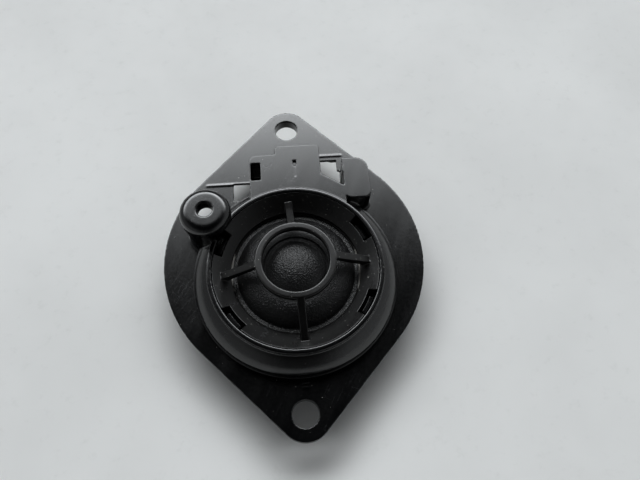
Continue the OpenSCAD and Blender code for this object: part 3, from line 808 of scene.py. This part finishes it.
def sleeve_piece():
    """Heat-shrunk sleeve: rolled round both ends of the can and drawn in at the crimp."""
    low, high = box_mm("capacitor_sleeve")
    mid = centre_mm("capacitor_sleeve")
    r, wall = (high.x - low.x) / 2, 0.1
    length = high.y - low.y
    section = [(r - 0.75, 0.0), (r - 0.35, 0.0), (r - 0.08, 0.1), (r, 0.35), (r, 0.85),
               (r - 0.05, 1.05), (r - 0.13, 1.2), (r - 0.05, 1.35), (r, 1.55)]
    section += [(r, 1.55 + (length - 2.0) * k / 6) for k in range(1, 7)]
    section += [(r - 0.08, length - 0.15), (r - 0.35, length), (r - 0.9, length),
                (r - 0.9, length - wall), (r - wall - 0.3, length - wall), (r - wall, length - 0.5)]
    section += [(r - wall, 1.6), (r - wall - 0.1, 1.2), (r - wall, 0.8), (r - wall - 0.3, wall),
                (r - 0.75, wall)]
    bm = bmesh.new()
    add_lathe(bm, section, (0, 0), 72)
    bm.transform(Matrix.Translation((mid.x, low.y, mid.z)) @ Matrix.Rotation(math.radians(-90), 4, "X"))
    stand_in(make_object("sleeve_shrunk", bm), "sleeve", ["capacitor_sleeve"])


def board_places():
    """Where things meet the board: x of both pins, their y, x of both wires, their y."""
    pins = [centre_mm("pin_left").x, centre_mm("pin_right").x]
    wires = [centre_mm("lead_wire_left").x, (pins[0] + pins[1]) / 2]
    return pins, box_mm("pin_left")[0].y + 0.3, wires, box_mm("lead_wire_left")[1].y - CORE_R


def solder_pieces(lead_x):
    """Six joints on the underside of the board: wetted cones, hollow toward their tips."""
    low, high = box_mm("solder_joints")
    top = high.z
    pins, foot_y, wires, wire_y = board_places()
    spots = [(x, foot_y, 0.93, 0.5) for x in pins]
    spots += [(x, wire_y, 0.56, 0.3) for x in (*wires, *lead_x)]
    bm = bmesh.new()
    for x, y, wide, tip in spots:
        rows = [(0.0, top), (wide, top)]
        for k in range(1, 9):
            t = k / 8
            rows.append((tip + (wide - tip) * (1 - t) ** 2.2, top - (top - low.z) * 0.9 * t))
        rows += [(tip * 0.75, low.z + (top - low.z) * 0.04), (tip * 0.4, low.z), (0.0, low.z)]
        add_lathe(bm, rows, (x, y), 32, closed=False)
    obj = make_object("solder_wetted", bm)
    roughen(obj, 0.6, 0.02, 1.0)
    stand_in(obj, "solder", ["solder_joints"])


def outline_plate(bm, points, z0, z1):
    """A thin plate from an outline, bottom and top."""
    lower = [bm.verts.new((x, y, z0)) for x, y in points]
    upper = [bm.verts.new((x, y, z1)) for x, y in points]
    bm.faces.new(lower)
    bm.faces.new(upper)
    n = len(points)
    for k in range(n):
        bm.faces.new((lower[k], lower[(k + 1) % n], upper[(k + 1) % n], upper[k]))


def copper_pieces(lead_x):
    """Tinned pads and the tracks that join them, proud of the underside of the board."""
    z = box_mm("circuit_board")[0].z
    pins, foot_y, wires, wire_y = board_places()
    half, far = 0.3, wire_y + 2.4
    bm = bmesh.new()

    def pad(x, y, r):
        turns = [2 * math.pi * k / 40 for k in range(40)]
        outline_plate(bm, [(x + r * math.cos(a), y + r * math.sin(a)) for a in turns], z - 0.03, z + 0.01)

    def track(x0, y0, x1, y1):
        outline_plate(bm, [(x0, y0), (x1, y0), (x1, y1), (x0, y1)], z - 0.02, z + 0.01)

    for x in pins:
        pad(x, foot_y, 1.12)
    for x in (*wires, *lead_x):
        pad(x, wire_y, 0.72)
    track(wires[0], wire_y - half, pins[0], wire_y + half)
    track(pins[1], wire_y - half, lead_x[0], wire_y + half)
    for x in (wires[1], lead_x[1]):
        track(x - half, wire_y, x + half, far + half)
    track(wires[1], far - half, lead_x[1], far + half)
    stand_in(make_object("board_tracks", bm, smooth=False), "tin_plate", [])


lead_wire_piece("lead_wire_left", "red_insulation")
lead_wire_piece("lead_wire_right", "black_insulation")
CAP_ENDS = capacitor_lead_piece()
sleeve_piece()
solder_pieces(CAP_ENDS)
copper_pieces(CAP_ENDS)


# ---------------------------------------------------------------- camera, floor and light
CAMERA_AT = Vector((-0.00191, -0.05520, 0.13465))
CAMERA_RIGHT = Vector((0.9961, -0.0825, 0.0293))
CAMERA_UP = Vector((0.0631, 0.9082, 0.4137))
LENS = 30.96


def camera():
    """A lens of moderate width, high in front of the object on the -Y side."""
    data = bpy.data.cameras.new("camera")
    data.lens = LENS
    data.sensor_width = 36.0
    data.clip_start = 0.001
    data.clip_end = 20.0
    obj = bpy.data.objects.new("camera", data)
    back = CAMERA_RIGHT.cross(CAMERA_UP).normalized()
    up = back.cross(CAMERA_RIGHT).normalized()
    right = up.cross(back)
    obj.matrix_world = Matrix.Translation(CAMERA_AT) @ Matrix((right, up, back)).transposed().to_4x4()
    scene.collection.objects.link(obj)
    scene.camera = obj


def floor():
    """A plain pale bench top."""
    bm = bmesh.new()
    size = 2500.0
    z = FLOOR_Z / MM
    corners = ((-size, -size), (size, -size), (size, size), (-size, size))
    bm.faces.new([bm.verts.new((x, y, z)) for x, y in corners])
    obj = make_object("floor", bm, smooth=False)
    s = Shade("bench")
    cloudy, fine = s.noise(0.012, 4.0, 0.6), s.noise(0.35, 4.0, 0.65)
    colour = s.mix(s.span(cloudy, 0.3, 0.7), (0.80, 0.80, 0.79), (0.87, 0.87, 0.86))
    colour = s.mix(s.span(fine, 0.55, 0.8, 0.0, 0.12), colour, (0.5, 0.5, 0.48))
    obj.data.materials.append(s.finish(colour, s.span(fine, 0.3, 0.7, 0.5, 0.6), s.bump(fine, 0.02), level=0.3))


WINDOW, ROOM, EAST, WEST = 8.8, 0.09, 0.4, 0.24


def sky():
    """A room with a dark ceiling, a bright window on the +Y side and dim walls at both flanks."""
    world = bpy.data.worlds.new("studio")
    scene.world = world
    world.use_nodes = True
    tree = world.node_tree
    tree.nodes.clear()
    out = tree.nodes.new("ShaderNodeOutputWorld")
    back = tree.nodes.new("ShaderNodeBackground")
    coord = tree.nodes.new("ShaderNodeTexCoord")
    parts = tree.nodes.new("ShaderNodeSeparateXYZ")
    tree.links.new(coord.outputs["Generated"], parts.inputs[0])
    dot = tree.nodes.new("ShaderNodeVectorMath")
    dot.operation = "DOT_PRODUCT"
    tree.links.new(coord.outputs["Generated"], dot.inputs[0])
    dot.inputs[1].default_value = Vector((0.0, -0.12, 1.0)).normalized()

    side = tree.nodes.new("ShaderNodeVectorMath")
    side.operation = "DOT_PRODUCT"
    tree.links.new(coord.outputs["Generated"], side.inputs[0])
    side.inputs[1].default_value = Vector((-0.07, 1.0, 0.0)).normalized()

    def span(value, a, b, lo, hi):
        n = tree.nodes.new("ShaderNodeMapRange")
        n.interpolation_type = "SMOOTHSTEP"
        tree.links.new(value, n.inputs[0])
        for socket, v in zip(list(n.inputs)[1:5], (a, b, lo, hi)):
            socket.default_value = v
        return n.outputs[0]

    def combine(kind, a, b):
        n = tree.nodes.new("ShaderNodeMath")
        n.operation = kind
        tree.links.new(a, n.inputs[0])
        tree.links.new(b, n.inputs[1])
        return n.outputs[0]

    def times(a, b):
        return combine("MULTIPLY", a, b)

    def plus(a, b):
        return combine("ADD", a, b)

    x, height, north = parts.outputs["X"], dot.outputs["Value"], side.outputs["Value"]
    dark_top = span(height, 0.9, 0.63, 0.0, 1.0)
    above_sill = span(height, 0.4, 0.58, 0.0, 1.0)
    window = times(times(dark_top, above_sill), span(north, 0.3, 0.72, 0.0, WINDOW))
    flanks = plus(span(x, 0.15, 0.75, 0.0, EAST), span(x, -0.15, -0.75, 0.0, WEST))
    walls = plus(flanks, span(height, 0.9, 0.5, 0.1 * ROOM, ROOM))
    around = times(walls, span(height, 0.9, 0.45, 0.1, 1.0))
    tree.links.new(plus(window, around), back.inputs["Strength"])
    back.inputs["Color"].default_value = (0.95, 0.98, 1.0, 1.0)
    tree.links.new(back.outputs[0], out.inputs[0])


camera()
floor()
sky()
scene.view_settings.view_transform = "Standard"
scene.view_settings.look = "None"
scene.view_settings.gamma = 0.86
